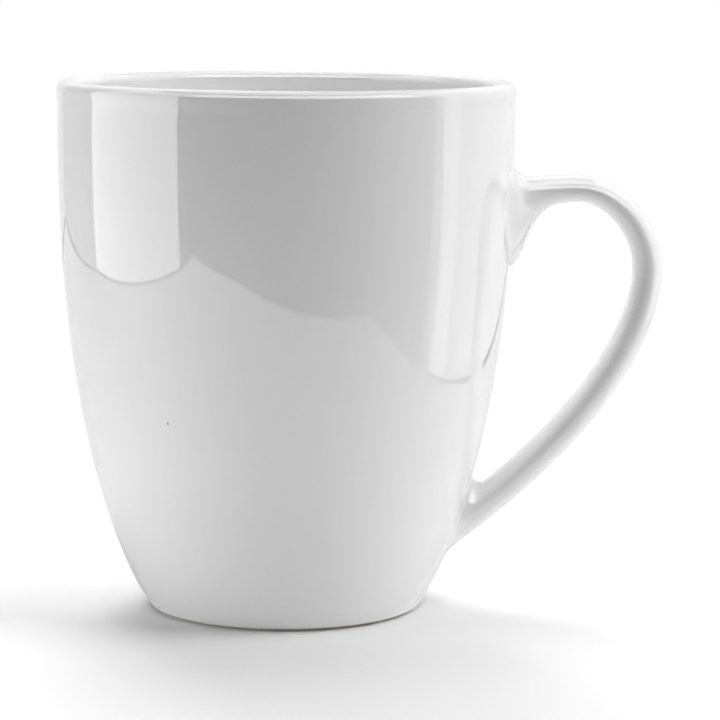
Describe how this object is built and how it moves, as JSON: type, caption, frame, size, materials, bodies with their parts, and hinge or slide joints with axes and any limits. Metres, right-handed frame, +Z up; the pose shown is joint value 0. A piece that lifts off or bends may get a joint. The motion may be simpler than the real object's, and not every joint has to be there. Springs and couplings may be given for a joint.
{
  "type": "ceramic mug",
  "caption": "Tall tapering ceramic mug with a rounded lip, an ear-shaped handle luted on with slip, clear-white glaze inside and out, and a bare foot ring under a shallow recess",
  "frame": {"origin": "on the cup's axis, at table level in the middle of the foot ring", "axes": "+Z up through the mouth, +X toward the handle, Y across the handle"},
  "size_m": [0.1197, 0.0904, 0.105],
  "materials": {
    "fired_clay": "matte",
    "slip": "matte",
    "white_glaze": "gloss"
  },
  "bodies": {
    "root": {"cup_body": "fired_clay", "handle": "fired_clay", "upper_slip_joint": "slip", "lower_slip_joint": "slip", "liner_glaze": "white_glaze", "outer_glaze": "white_glaze", "handle_glaze": "white_glaze", "base_glaze": "white_glaze"}
  },
  "joints": []
}
